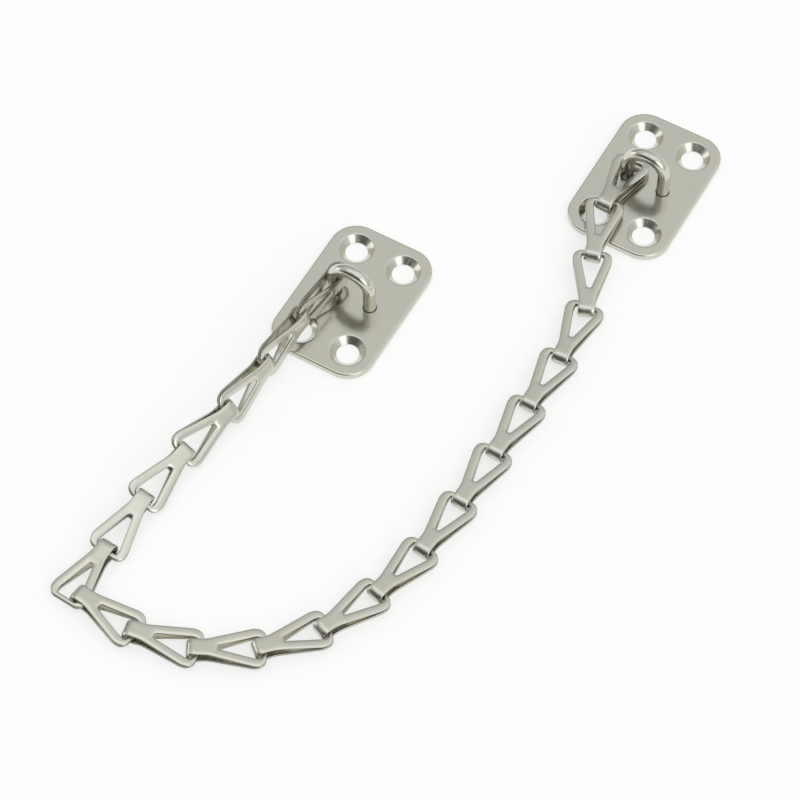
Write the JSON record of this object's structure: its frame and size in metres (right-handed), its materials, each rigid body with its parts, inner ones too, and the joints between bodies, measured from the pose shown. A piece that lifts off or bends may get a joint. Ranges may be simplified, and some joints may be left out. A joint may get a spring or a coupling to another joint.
{
  "type": "transom chain",
  "caption": "Bright nickel transom chain of folded teardrop links between a pair of countersunk screw plates with wire eyes.",
  "frame": {"origin": "middle of the frame plate's back face", "axes": "+Z out of the plates' faces, Y along the plates' long sides, X along their short sides"},
  "size_m": [0.0738, 0.1811, 0.0135],
  "materials": {
    "nickel_plate": "polished nickel plating",
    "nickel_wire": "polished nickel plating",
    "nickel_link": "polished nickel plating"
  },
  "bodies": {
    "frame_side": {"frame_plate": "nickel_plate", "frame_eye": "nickel_wire"},
    "link_01": {"link_01": "nickel_link"},
    "link_02": {"link_02": "nickel_link"},
    "link_03": {"link_03": "nickel_link"},
    "link_04": {"link_04": "nickel_link"},
    "link_05": {"link_05": "nickel_link"},
    "link_06": {"link_06": "nickel_link"},
    "link_07": {"link_07": "nickel_link"},
    "link_08": {"link_08": "nickel_link"},
    "link_09": {"link_09": "nickel_link"},
    "link_10": {"link_10": "nickel_link"},
    "link_11": {"link_11": "nickel_link"},
    "link_12": {"link_12": "nickel_link"},
    "link_13": {"link_13": "nickel_link"},
    "link_14": {"link_14": "nickel_link"},
    "link_15": {"link_15": "nickel_link"},
    "link_16": {"link_16": "nickel_link"},
    "link_17": {"link_17": "nickel_link"},
    "link_18": {"link_18": "nickel_link"},
    "link_19": {"link_19": "nickel_link"},
    "link_20": {"link_20": "nickel_link"},
    "link_21": {"link_21": "nickel_link"},
    "transom_side": {"transom_plate": "nickel_plate", "transom_eye": "nickel_wire"}
  },
  "joints": [
    {"name": "frame_swing", "type": "hinge", "parent": "frame_side", "child": "link_01", "pos_m": [-0.0046, 0, 0.00615], "axis": [0, 0, 1], "range_deg": [-90, 20]},
    {"name": "bend_01", "type": "hinge", "parent": "link_01", "child": "link_02", "pos_m": [-0.00597, -0.01303, 0.00615], "axis": [0, 0, 1], "range_deg": [-90, 20]},
    {"name": "bend_02", "type": "hinge", "parent": "link_02", "child": "link_03", "pos_m": [-0.0067, -0.02706, 0.00524], "axis": [0.2617, 0.0473, -0.964], "range_deg": [-100, 100]},
    {"name": "bend_03", "type": "hinge", "parent": "link_03", "child": "link_04", "pos_m": [-0.00793, -0.04106, 0.00418], "axis": [-0.5038, -0.0219, 0.8635], "range_deg": [-100, 100]},
    {"name": "bend_04", "type": "hinge", "parent": "link_04", "child": "link_05", "pos_m": [-0.01088, -0.05478, 0.00364], "axis": [0.6978, -0.1179, -0.7065], "range_deg": [-100, 100]},
    {"name": "bend_05", "type": "hinge", "parent": "link_05", "child": "link_06", "pos_m": [-0.01256, -0.06872, 0.00274], "axis": [-0.8633, 0.0749, 0.499], "range_deg": [-100, 100]},
    {"name": "bend_06", "type": "hinge", "parent": "link_06", "child": "link_07", "pos_m": [-0.01302, -0.08275, 0.00193], "axis": [0.9658, -0.0191, -0.2584], "range_deg": [-100, 100]},
    {"name": "bend_07", "type": "hinge", "parent": "link_07", "child": "link_08", "pos_m": [-0.0104, -0.09455, 0.00195], "axis": [0.1862, -0.9825, 0.0013], "range_deg": [-20, 20]},
    {"name": "bend_08", "type": "hinge", "parent": "link_08", "child": "link_09", "pos_m": [0.00314, -0.09621, 0.00195], "axis": [0.1219, 0.9925, 0], "range_deg": [-90, 90]},
    {"name": "bend_09", "type": "hinge", "parent": "link_09", "child": "link_10", "pos_m": [0.0168, -0.09316, 0.00195], "axis": [0.2079, -0.9781, 0], "range_deg": [-90, 90]},
    {"name": "bend_10", "type": "hinge", "parent": "link_10", "child": "link_11", "pos_m": [0.02872, -0.08583, 0.00195], "axis": [-0.515, 0.8572, 0], "range_deg": [-90, 90]},
    {"name": "bend_11", "type": "hinge", "parent": "link_11", "child": "link_12", "pos_m": [0.03761, -0.07502, 0.00195], "axis": [0.766, -0.6428, 0], "range_deg": [-100, 100]},
    {"name": "bend_12", "type": "hinge", "parent": "link_12", "child": "link_13", "pos_m": [0.04298, -0.06203, 0.00195], "axis": [-0.9205, 0.3907, 0], "range_deg": [-100, 100]},
    {"name": "bend_13", "type": "hinge", "parent": "link_13", "child": "link_14", "pos_m": [0.04613, -0.0481, 0.00195], "axis": [0.9744, -0.225, 0], "range_deg": [-100, 100]},
    {"name": "bend_14", "type": "hinge", "parent": "link_14", "child": "link_15", "pos_m": [0.04732, -0.03381, 0.00195], "axis": [-0.9962, 0.0872, 0], "range_deg": [-100, 100]},
    {"name": "bend_15", "type": "hinge", "parent": "link_15", "child": "link_16", "pos_m": [0.04781, -0.01931, 0.00195], "axis": [0.9994, -0.0349, 0], "range_deg": [-100, 100]},
    {"name": "bend_16", "type": "hinge", "parent": "link_16", "child": "link_17", "pos_m": [0.04832, -0.00472, 0.00195], "axis": [-0.9994, 0.0349, 0], "range_deg": [-100, 100]},
    {"name": "bend_17", "type": "hinge", "parent": "link_17", "child": "link_18", "pos_m": [0.04857, 0.00984, 0.00195], "axis": [0.9998, -0.0175, 0], "range_deg": [-100, 100]},
    {"name": "bend_18", "type": "hinge", "parent": "link_18", "child": "link_19", "pos_m": [0.04727, 0.02419, 0.00195], "axis": [-0.9962, -0.0872, 0], "range_deg": [-100, 100]},
    {"name": "bend_19", "type": "hinge", "parent": "link_19", "child": "link_20", "pos_m": [0.0419, 0.03714, 0.00298], "axis": [0.9272, 0.3746, 0], "range_deg": [-100, 100]},
    {"name": "bend_20", "type": "hinge", "parent": "link_20", "child": "link_21", "pos_m": [0.03797, 0.05098, 0.00365], "axis": [-0.9613, -0.2756, 0], "range_deg": [-90, 0]},
    {"name": "transom_swing", "type": "hinge", "parent": "link_21", "child": "transom_side", "pos_m": [0.03809, 0.06156, 0.00323], "axis": [0, 0, 1], "range_deg": [-5, 60]}
  ]
}
